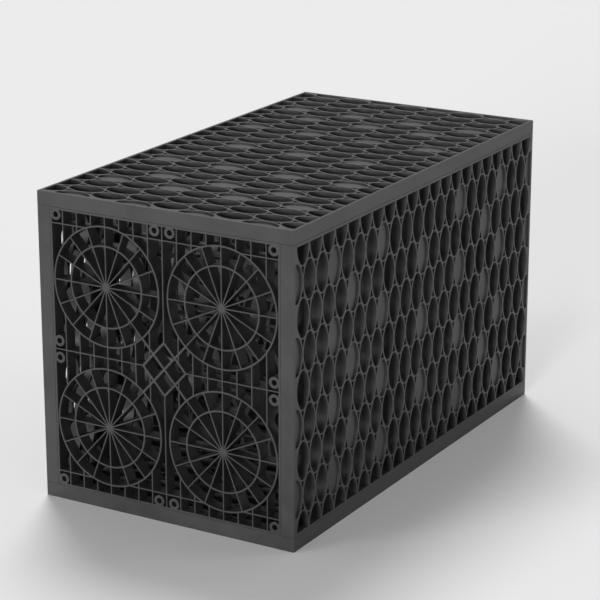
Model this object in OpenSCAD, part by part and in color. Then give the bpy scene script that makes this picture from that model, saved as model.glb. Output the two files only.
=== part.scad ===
// Soakaway crate: eight moulded lattice plates that press together into a box which holds rain water.
// X is the width, Y the length with the inlet end at -Y, Z is up, and the crate stands on Z = 0.

/* [Crate] */
// Outside width, which is the width of the four long plates
crate_w = 400; // [350:1:470]
// Outside length, which is the length of the four long plates
crate_l = 715; // [600:1:830]
// Thickness of every plate, and depth of its ribs
plate_t = 19.6; // [17:0.1:24]
// Gap left between the edge of a plate and its neighbour
fit_gap = 0.4; // [0.2:0.05:0.8]

/* [Long plates] */
// Distance between neighbouring cells of a row, along the crate
cell_pitch = 33.4; // [30:0.1:40]
// Distance between neighbouring rows of cells
row_pitch = 49; // [44:0.5:55]
// Rib left between two neighbouring cells
cell_rib = 3.2; // [2.6:0.1:6]
// Radius at the two tips of a cell
cell_tip_r = 9; // [7:0.5:11]
// Depth by which the floor of a blank cell lies below the ribs round it
blank_sink = 3; // [1:0.25:4]
// Thickness of the floor that closes a blank cell
blank_t = 3; // [2:0.25:4]
// Place of the spare blank cells of an odd row, in pitches from the middle of the row
spare_odd = 7.5; // [5.5:1:8.5]
// Place of the spare blank cells of an even row, in pitches from the middle of the row
spare_even = 6; // [5:1:8]
// Rim along the edges of the plate
long_rim = 4; // [3:0.25:8]

/* [End and partition plates] */
// Rim along the edges of the plate
small_rim = 3; // [2:0.5:5]
// Distance between neighbouring ovals of a row
oval_pitch = 44; // [38:0.5:52]
// Distance between neighbouring rows of ovals
oval_row = 86.3; // [76:0.1:98]
// Wall of one oval
oval_wall = 2.2; // [1.2:0.1:3]
// Radius at the two tips of an oval
oval_tip_r = 9; // [7:0.5:12]
// Thickness of the two long arcs that cross each row
arc_rib = 2; // [1.4:0.1:3]
// Distance between the middles of the two arcs at the centre of the plate
arc_waist = 1.2; // [0.6:0.1:1.4]
// Distance between the middles of the two arcs at the rim of the plate
arc_spread = 31; // [20:0.5:40]

/* [Inlet plate] */
// Distance between the wheels, across the plate
wheel_dx = 182; // [176:1:188]
// Distance between the wheels, up the plate
wheel_dz = 200; // [190:1:210]
// Diameter of a wheel's outer ring, at the middle of its rib, for a large pipe
large_ring_d = 168; // [150:1:170]
// Diameter of a wheel's inner ring, at the middle of its rib, for a small pipe
small_ring_d = 114; // [90:1:130]
// Diameter of a wheel's hub
hub_d = 11; // [9:0.5:18]
// Spokes of one wheel
spokes = 16; // [8:4:24]
// Thickness of a spoke
spoke_rib = 1.7; // [1.2:0.1:3]
// Thickness of a ring
ring_rib = 2.3; // [1.6:0.1:4]
// Thickness of the grid ribs outside the wheels
grid_rib = 1.7; // [1.2:0.1:3]
// Distance between upright grid ribs
grid_dx = 22.75; // [20:0.25:28]
// Height of the long grid rib above and below the middle of the plate
grid_z = 178.5; // [170:0.5:182]
// Distance from the middle of the plate to the sides of the lozenge of slanting ribs
lozenge_reach = 25; // [18:0.5:32]
// Thickness of the slanting ribs
slant_rib = 3; // [2:0.1:4]
// Outside diameter of the tie bosses along the rim
boss_d = 16; // [13:0.5:20]
// Hole through a tie boss
boss_hole_d = 8; // [5:0.5:10]
// Distance from the edge of the plate to the middle of a tie boss
boss_inset = 9.5; // [8:0.25:12]
// Distance between the two tie bosses at the middle of an edge
boss_pair = 24; // [20:1:40]

/* [Pegs] */
// Diameter of the pegs on the edges of the end and partition plates
peg_d = 8; // [6:0.5:10]
// Length by which a peg goes into its socket
peg_l = 6; // [4:0.5:8]
// Clearance round a peg, and past its tip
peg_gap = 0.2; // [0.1:0.05:0.4]
// Wall of a socket
socket_wall = 3; // [2:0.25:4]

/* [Hidden] */
$fn = 96;
plastic = [0.2, 0.2, 0.205];

// The side plates and the small plates stand between the top and the bottom plate, so they set the height
crate_h = crate_w + 2 * (plate_t + fit_gap);
small_w = crate_w - 2 * (plate_t + fit_gap);
small_h = crate_w;
open_w = small_w - 2 * small_rim;
open_h = small_h - 2 * small_rim;

// Middle of an end plate's thickness, and the partitions that share the length evenly between the ends
end_y = crate_l / 2 - plate_t / 2;
partition_place = round(end_y / 3 / cell_pitch - 0.5) + 0.5;
partition_y = partition_place * cell_pitch;

// Half sizes of a cell: neighbouring outlines touch, as ovals packed in staggered rows
cell_a = (cell_pitch - cell_rib) / 2;
cell_b = row_pitch / sqrt(3) - cell_rib / 2;
// Part of a long plate's width that holds cells
cell_field = crate_w - 2 * long_rim;

// Half sizes of an oval's outside
oval_a = oval_pitch / 2;
oval_b = oval_row / sqrt(3);
// Least width of a cut-off oval that is still opened
oval_least = 8;
// Size of the small gap between three ovals or cells, as a share of their half sizes
gap_share = 0.29;
// Share of an oval's half height by which the last row may reach past the rim
row_share = 0.5;
cell_rows = floor((cell_field / 2 + row_share * cell_b) / row_pitch);
oval_rows = floor((open_h / 2 + row_share * oval_b) / oval_row);
// Height by which an oval's tips stand over its flanks, so that the arcs cross instead of only touching
tip_step = 0.02;
// Length by which a cut runs past the face it starts from
past = 1;

// Sockets in the long plates
socket_r = peg_d / 2 + peg_gap;
socket_depth = peg_l + peg_gap;
socket_boss_r = socket_r + socket_wall;

// Last place of a row, in pitches from its middle: even rows have an oval at the middle, odd rows a rib
function last_place(reach, pitch, shift) = floor(reach / pitch - shift) + shift;
cell_lasts = [
    last_place(crate_l / 2 - long_rim - cell_a, cell_pitch, 0),
    last_place(crate_l / 2 - long_rim, cell_pitch, 0.5)
];
oval_lasts = [
    for (shift = [0, 0.5]) last_place(open_w / 2 + oval_a - oval_wall - oval_least, oval_pitch, shift)
];

// Places of the blank cells, in pitches from the middle of a row: seats of the partitions, spare seats, and
// seats of the end plates at the ends of the odd rows
odd_blanks = [partition_place, spare_odd, cell_lasts[1]];
even_blanks = [0, spare_even];

// Places of the pegs along an edge: the odd rows of the long plates
function peg_places(edge) =
    [
        for (k = [1:2:edge / 2 / row_pitch])
            if (k * row_pitch + socket_boss_r < edge / 2) each [-k * row_pitch, k * row_pitch]
    ];

function is_in(value, list) = len([for (v = list) if (v == value) v]) > 0;

// Oval of four arcs with half sizes a and b, and tips of radius r
module oval(a, b, r) {
    inner = r - tip_step;
    flank = (a * a + (b - r) * (b - r) - inner * inner) / (2 * (a - inner));
    turn = (b - r) * flank / (flank - inner);
    intersection() {
        translate([a - flank, 0]) rotate(180) circle(r = flank);
        translate([flank - a, 0]) circle(r = flank);
        square([2 * flank, 2 * turn], center = true);
    }
    for (s = [-1, 1])
        translate([0, s * (b - r)]) rotate(-s * 90) circle(r = r);
}

// Small three-cornered gaps between the ovals of neighbouring rows
module gaps(rows, lasts, pitch, row) {
    for (k = [-rows:rows])
        for (side = [-1, 1])
            if (abs(k + side) <= rows) {
                reach = lasts[abs(k) % 2] - 0.5;
                for (i = [-reach:reach])
                    translate([i * pitch, (k + side / 3) * row])
                        polygon([for (turn = [-90, 30, 150])
                            gap_share * [pitch / 2 * cos(turn), side * row / sqrt(3) * sin(turn)]]);
            }
}

// Cells of a long plate, in staggered rows that end at the rim: either the open or the blank ones
module cells(blank) {
    intersection() {
        square([crate_l - 2 * long_rim, cell_field], center = true);
        for (k = [-cell_rows:cell_rows]) {
            odd = abs(k) % 2;
            whole = abs(k) * row_pitch + row_share * cell_b < cell_field / 2;
            blanks = odd == 1 ? odd_blanks : whole ? even_blanks : [];
            for (i = [-cell_lasts[odd]:cell_lasts[odd]])
                if (is_in(abs(i), blanks) == blank)
                    translate([i * cell_pitch, k * row_pitch]) oval(cell_a, cell_b, cell_tip_r);
        }
    }
}

// Long plate lying flat, outer face up, length along X, with sockets for pegs in blank cells of its odd rows
module long_plate() {
    sockets = [for (y = [-end_y, -partition_y, partition_y, end_y]) for (v = peg_places(small_h)) [y, v]];
    floor_z = plate_t - blank_sink;
    difference() {
        linear_extrude(plate_t)
            difference() {
                square([crate_l, crate_w], center = true);
                cells(false);
                gaps(cell_rows, cell_lasts, cell_pitch, row_pitch);
            }
        translate([0, 0, floor_z]) linear_extrude(blank_sink + past) cells(true);
        translate([0, 0, -past])
            linear_extrude(floor_z - blank_t + past)
                difference() {
                    cells(true);
                    for (p = sockets) translate(p) circle(r = socket_boss_r);
                }
        for (p = sockets)
            translate([p[0], p[1], -past]) cylinder(r = socket_r, h = socket_depth + past);
    }
}

module side_plate() {
    translate([crate_w / 2 - plate_t, 0, crate_h / 2]) rotate([90, 0, 90]) long_plate();
}

module level_plate() {
    translate([0, 0, crate_h / 2 - plate_t]) rotate([0, 0, 90]) long_plate();
}

module top_plate() {
    color(plastic) translate([0, 0, crate_h / 2]) level_plate();
}

module bottom_plate() {
    color(plastic) translate([0, 0, crate_h / 2]) rotate([0, 180, 0]) level_plate();
}

module right_side_plate() {
    color(plastic) side_plate();
}

module left_side_plate() {
    color(plastic) rotate([0, 0, 180]) side_plate();
}

// Pegs on the four edges of a small plate lying flat
module pegs() {
    root = small_rim / 2;
    length = root + fit_gap + peg_l;
    for (s = [-1, 1]) {
        for (v = peg_places(small_h))
            translate([s * (small_w / 2 - root), v, plate_t / 2])
                rotate([0, s * 90, 0]) cylinder(d = peg_d, h = length);
        for (u = peg_places(small_w))
            translate([u, s * (small_h / 2 - root), plate_t / 2])
                rotate([-s * 90, 0, 0]) cylinder(d = peg_d, h = length);
    }
}

// Small plate lying flat, outer face up: rim, pegs, and the lattice given as its child
module small_plate() {
    linear_extrude(plate_t) {
        difference() {
            square([small_w, small_h], center = true);
            square([open_w, open_h], center = true);
        }
        intersection() {
            square([small_w, small_h], center = true);
            children();
        }
    }
    pegs();
}

// Staggered ovals crossed in each row by two long arcs
module oval_lattice() {
    difference() {
        square([small_w, small_h], center = true);
        difference() {
            intersection() {
                square([open_w, open_h], center = true);
                for (k = [-oval_rows:oval_rows])
                    translate([0, k * oval_row]) oval_line(oval_lasts[abs(k) % 2]);
            }
            for (k = [-oval_rows:oval_rows]) translate([0, k * oval_row]) arcs();
        }
        gaps(oval_rows, oval_lasts, oval_pitch, oval_row);
    }
}

// Ovals of one row
module oval_line(last) {
    for (i = [-last:last])
        translate([i * oval_pitch, 0]) oval(oval_a - oval_wall, oval_b - oval_wall, oval_tip_r);
}

// Two long shallow arcs that bend away from each other towards the rim
module arcs() {
    rise = (arc_spread - arc_waist) / 2;
    bend = (open_w * open_w / 4 + rise * rise) / (2 * rise);
    for (s = [-1, 1])
        translate([0, s * (arc_waist / 2 + bend)])
            rotate(s * 90)
                difference() {
                    circle(r = bend + arc_rib / 2);
                    circle(r = bend - arc_rib / 2);
                }
}

// Places of the four wheels
wheels = [for (sx = [-1, 1]) for (sz = [-1, 1]) [sx * wheel_dx / 2, sz * wheel_dz / 2]];
wheel_r = large_ring_d / 2;
slant = atan2(wheel_dz, wheel_dx);

module ring(d, rib) {
    difference() {
        circle(d = d + rib);
        circle(d = d - rib);
    }
}

// One spoked wheel: the rings are cut out for a large or a small pipe
module wheel() {
    ring(large_ring_d, ring_rib);
    ring(small_ring_d, ring_rib);
    circle(d = hub_d);
    for (i = [0:spokes - 1]) {
        turn = i * 360 / spokes;
        rotate(atan2(wheel_dz * sin(turn), wheel_dx * cos(turn)))
            translate([0, -spoke_rib / 2]) square([wheel_r, spoke_rib]);
    }
}

// Lozenge round the middle of the plate, with sides that run along the lines from hub to hub
module lozenge(reach) {
    corners = [reach / sin(slant), reach / cos(slant)];
    polygon([[corners[0], 0], [0, corners[1]], [-corners[0], 0], [0, -corners[1]]]);
}

// Slanting ribs between the four wheels: the two lines from hub to hub, and the sides of the lozenge
module slanting_ribs() {
    for (s = [-1, 1]) rotate(s * slant) square([norm([wheel_dx, wheel_dz]), slant_rib], center = true);
    difference() {
        lozenge(lozenge_reach + slant_rib / 2);
        lozenge(lozenge_reach - slant_rib / 2);
    }
}

module square_grid() {
    last = floor(open_w / 2 / grid_dx);
    for (i = [-last:last])
        translate([i * grid_dx, 0]) square([grid_rib, small_h], center = true);
    for (s = [-1, 0, 1])
        translate([0, s * grid_z]) square([small_w, grid_rib], center = true);
}

// Places of the tie bosses: one in each corner and a pair at the middle of each edge
boss_x = small_w / 2 - boss_inset;
boss_z = small_h / 2 - boss_inset;
bosses = [
    for (s = [-1, 1]) for (t = [-1, 1])
        each [[s * boss_x, t * boss_z], [s * boss_x, t * boss_pair / 2], [s * boss_pair / 2, t * boss_z]]
];

// Four wheels and the ribs between them
module wheel_lattice() {
    for (p = wheels) translate(p) wheel();
    difference() {
        union() {
            difference() {
                square_grid();
                lozenge(lozenge_reach);
            }
            slanting_ribs();
        }
        for (p = wheels) translate(p) circle(r = wheel_r);
    }
    for (p = bosses) translate(p) circle(d = boss_d);
}

module inlet_end_plate() {
    color(plastic)
        translate([0, -end_y + plate_t / 2, crate_h / 2])
            rotate([90, 0, 0])
                difference() {
                    small_plate() wheel_lattice();
                    for (p = bosses)
                        translate([p[0], p[1], -past]) cylinder(d = boss_hole_d, h = plate_t + 2 * past);
                }
}

// End plate with ovals, its outer face turned towards -Y, at the given place along the crate
module oval_plate(y) {
    translate([0, y + plate_t / 2, crate_h / 2])
        rotate([90, 0, 0])
            small_plate() oval_lattice();
}

module rear_end_plate() {
    color(plastic) rotate([0, 0, 180]) oval_plate(-end_y);
}

module front_partition_plate() {
    color(plastic) oval_plate(-partition_y);
}

module rear_partition_plate() {
    color(plastic) rotate([0, 0, 180]) oval_plate(-partition_y);
}

top_plate();
bottom_plate();
left_side_plate();
right_side_plate();
inlet_end_plate();
rear_end_plate();
front_partition_plate();
rear_partition_plate();
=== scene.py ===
import bpy
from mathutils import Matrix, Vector


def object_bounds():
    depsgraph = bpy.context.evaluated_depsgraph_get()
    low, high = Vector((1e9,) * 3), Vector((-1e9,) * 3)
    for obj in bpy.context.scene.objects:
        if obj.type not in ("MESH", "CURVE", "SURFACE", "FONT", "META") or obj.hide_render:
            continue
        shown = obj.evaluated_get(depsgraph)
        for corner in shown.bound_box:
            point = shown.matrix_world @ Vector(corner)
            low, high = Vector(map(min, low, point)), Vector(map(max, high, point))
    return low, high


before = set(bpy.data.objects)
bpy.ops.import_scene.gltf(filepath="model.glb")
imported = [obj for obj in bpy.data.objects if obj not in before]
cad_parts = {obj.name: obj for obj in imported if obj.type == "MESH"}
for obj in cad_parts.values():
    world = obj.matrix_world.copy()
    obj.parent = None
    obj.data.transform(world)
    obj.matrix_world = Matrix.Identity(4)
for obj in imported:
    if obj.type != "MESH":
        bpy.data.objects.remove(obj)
cad_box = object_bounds()
bpy.ops.object.select_all(action="DESELECT")

# Long plates: the top, the bottom and the two sides of the box, each a deep lattice of staggered oval cells.
# All four are injection moulded from black polypropylene in one tool, and their sockets press over the pegs
# of the plates that stand between them.
MM = 0.001


def linear(colour):
    """Linear RGBA of an sRGB hex colour."""
    parts = [int(colour[i : i + 2], 16) / 255 for i in (1, 3, 5)]
    return [p / 12.92 if p <= 0.04045 else ((p + 0.055) / 1.055) ** 2.4 for p in parts] + [1]


def add(material, kind, settings=None, **sockets):
    """Adds one node. A socket's value is a number, a colour or the output of another node."""
    node = material.node_tree.nodes.new(kind)
    for key, value in (settings or {}).items():
        setattr(node, key, value)
    for key, value in sockets.items():
        socket = next(s for s in node.inputs if s.name == key.replace("_", " ") and s.enabled)
        if isinstance(value, bpy.types.NodeSocket):
            material.node_tree.links.new(value, socket)
        else:
            socket.default_value = value
    return node


def black_polypropylene(name, flow):
    """Polypropylene with carbon black, injection moulded: charcoal rather than black in good light, with a
    satin skin that is a little uneven along the flow of the melt, and ribs rubbed paler along their edges."""
    material = bpy.data.materials.new(name)
    material.use_nodes = True
    tree = material.node_tree
    tree.nodes.clear()
    place = add(material, "ShaderNodeTexCoord").outputs["Object"]

    # Cloudy flow marks, drawn out along the way the melt ran
    flow_mark = 45 * MM
    thin_cloud, dense_cloud = 0.35, 0.65
    dark_skin, pale_skin = "#2a2a2b", "#333334"
    along = add(material, "ShaderNodeMapping", Vector=place, Scale=flow).outputs[0]
    clouds = add(
        material,
        "ShaderNodeTexNoise",
        Vector=along,
        Scale=1 / flow_mark,
        Detail=4.0,
        Roughness=0.6,
    ).outputs["Fac"]
    cloudiness = add(
        material,
        "ShaderNodeMapRange",
        Value=clouds,
        From_Min=thin_cloud,
        From_Max=dense_cloud,
    ).outputs[0]
    skin = add(
        material,
        "ShaderNodeMix",
        {"data_type": "RGBA"},
        Factor=cloudiness,
        A=linear(dark_skin),
        B=linear(pale_skin),
    ).outputs["Result"]

    # Edges: a moulded radius that catches light, and paler scuffs in patches along it
    edge_radius = 0.9 * MM
    scuff_patch = 18 * MM
    clean_patch, rubbed_patch = 0.42, 0.62
    least_scuff, most_scuff = 0.15, 0.8
    scuffed_skin = "#505052"
    # Cosines of the turn from the flat face at which an edge begins, and at which it is reached
    edge_begins, edge_reached = 0.98, 0.8
    rounded = add(material, "ShaderNodeBevel", {"samples": 6}, Radius=edge_radius).outputs[0]
    flat = add(material, "ShaderNodeNewGeometry").outputs["Normal"]
    facing = add(material, "ShaderNodeVectorMath", {"operation": "DOT_PRODUCT"})
    tree.links.new(rounded, facing.inputs[0])
    tree.links.new(flat, facing.inputs[1])
    on_edge = add(
        material,
        "ShaderNodeMapRange",
        Value=facing.outputs["Value"],
        From_Min=edge_begins,
        From_Max=edge_reached,
    ).outputs[0]
    patches = add(
        material,
        "ShaderNodeTexNoise",
        Vector=place,
        Scale=1 / scuff_patch,
        Detail=3.0,
        Roughness=0.7,
    ).outputs["Fac"]
    worn = add(
        material,
        "ShaderNodeMapRange",
        Value=patches,
        From_Min=clean_patch,
        From_Max=rubbed_patch,
        To_Min=least_scuff,
        To_Max=most_scuff,
    ).outputs[0]
    scuff = add(material, "ShaderNodeMath", {"operation": "MULTIPLY"})
    tree.links.new(on_edge, scuff.inputs[0])
    tree.links.new(worn, scuff.inputs[1])
    colour = add(
        material,
        "ShaderNodeMix",
        {"data_type": "RGBA"},
        Factor=scuff.outputs[0],
        A=skin,
        B=linear(scuffed_skin),
    ).outputs["Result"]

    # Spark-eroded grain of the tool, about 0.4 mm in truth and drawn at 2 mm so that it shows
    grain = 2 * MM
    grain_depth = 0.12 * MM
    grain_strength = 0.35
    pebbles = add(
        material, "ShaderNodeTexNoise", Vector=place, Scale=1 / grain, Detail=2.0
    ).outputs["Fac"]
    relief = add(
        material,
        "ShaderNodeBump",
        Height=pebbles,
        Strength=grain_strength,
        Distance=grain_depth,
        Normal=rounded,
    ).outputs[0]

    # Satin gloss, a little duller where the flow marks are dense
    satin_roughness, dull_roughness = 0.42, 0.56
    satin = add(
        material,
        "ShaderNodeMapRange",
        Value=clouds,
        From_Min=thin_cloud,
        From_Max=dense_cloud,
        To_Min=satin_roughness,
        To_Max=dull_roughness,
    ).outputs[0]

    shader = add(
        material,
        "ShaderNodeBsdfPrincipled",
        Base_Color=colour,
        Roughness=satin,
        Normal=relief,
        IOR=1.49,
        Metallic=0.0,
    )
    add(material, "ShaderNodeOutputMaterial", Surface=shader.outputs[0])
    return material


def finish_plates(names, material):
    """Gives CAD nodes a material in place of their plain one."""
    for name in names:
        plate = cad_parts[name]
        plate.data.materials.clear()
        plate.data.materials.append(material)


finish_plates(
    ["top_plate", "bottom_plate", "left_side_plate", "right_side_plate"],
    black_polypropylene("moulded_black_polypropylene_long", flow=(1, 0.3, 1)),
)

# Inlet end plate: the small plate with four spoked wheels, moulded from the same black polypropylene.
# A wheel is cut out along one of its two rings where a drain pipe enters. The melt ran out from the middle.
finish_plates(
    ["inlet_end_plate"],
    black_polypropylene("moulded_black_polypropylene_inlet", flow=(1, 1, 0.6)),
)

# Rear end and partitions: three small plates from one tool, with ovals crossed by long arcs. The partitions
# carry the load of the soil at thirds of the length. Pegs on their edges hold them in the long plates.
finish_plates(
    ["rear_end_plate", "front_partition_plate", "rear_partition_plate"],
    black_polypropylene("moulded_black_polypropylene_oval", flow=(0.5, 1, 1)),
)

# Floor: a wide sheet of pale matt studio paper, a hair under the crate so that their faces don't coincide.
# It belongs to the stage and not to the part.
floor_size = 40
floor_drop = 0.2 * MM
bpy.ops.mesh.primitive_plane_add(size=floor_size, location=(0, 0, -floor_drop))
floor = bpy.context.object
floor.name = "floor"
floor_paper = bpy.data.materials.new("pale_studio_paper")
floor_paper.use_nodes = True
paper = floor_paper.node_tree.nodes["Principled BSDF"]
paper.inputs["Base Color"].default_value = linear("#f0f0f0")
paper.inputs["Roughness"].default_value = 0.9
paper.inputs["Specular IOR Level"].default_value = 0.1
floor.data.materials.append(floor_paper)

# Light: a low key from the front that reaches a little way into the cells, a broad lamp from behind that
# lights the floor, and two weak broad lamps that draw a sheen along the inlet end and the long side, all in
# a plain pale room.
centre = (cad_box[0] + cad_box[1]) / 2


def lamp(name, place, power, spread):
    """Adds a far lamp that is turned to the crate, with the angle over which its light spreads."""
    light = bpy.data.lights.new(name, "SUN")
    light.energy = power
    light.angle = spread
    holder = bpy.data.objects.new(name, light)
    holder.location = place
    holder.rotation_euler = (centre - Vector(place)).to_track_quat("-Z", "Y").to_euler()
    bpy.context.scene.collection.objects.link(holder)


lamp("key_light", place=(0.5, -3.0, 0.7), power=1.7, spread=0.25)
lamp("back_light", place=(-1.0, 1.4, 2.6), power=1.8, spread=0.4)
lamp("inlet_sheen", place=(-1.7, -2.6, 0.8), power=0.93, spread=0.38)
lamp("side_sheen", place=(2.4, 1.9, 0.7), power=0.4, spread=0.38)

room = bpy.data.worlds.new("studio_room")
bpy.context.scene.world = room
room.use_nodes = True
walls = room.node_tree.nodes["Background"]
walls.inputs["Color"].default_value = (1, 1, 1, 1)
walls.inputs["Strength"].default_value = 0.34

# Camera: the place that the photograph was taken from, turned to the middle of the crate, with a longer lens
# so that the crate fills the frame.
camera_data = bpy.data.cameras.new("camera")
camera_data.sensor_width = 36
camera_data.lens = 138
camera = bpy.data.objects.new("camera", camera_data)
camera.location = (1.6152, -2.7592, 1.2269)
camera.rotation_euler = (centre - camera.location).to_track_quat("-Z", "Y").to_euler()
bpy.context.scene.collection.objects.link(camera)
bpy.context.scene.camera = camera
bpy.context.scene.view_settings.view_transform = "Standard"
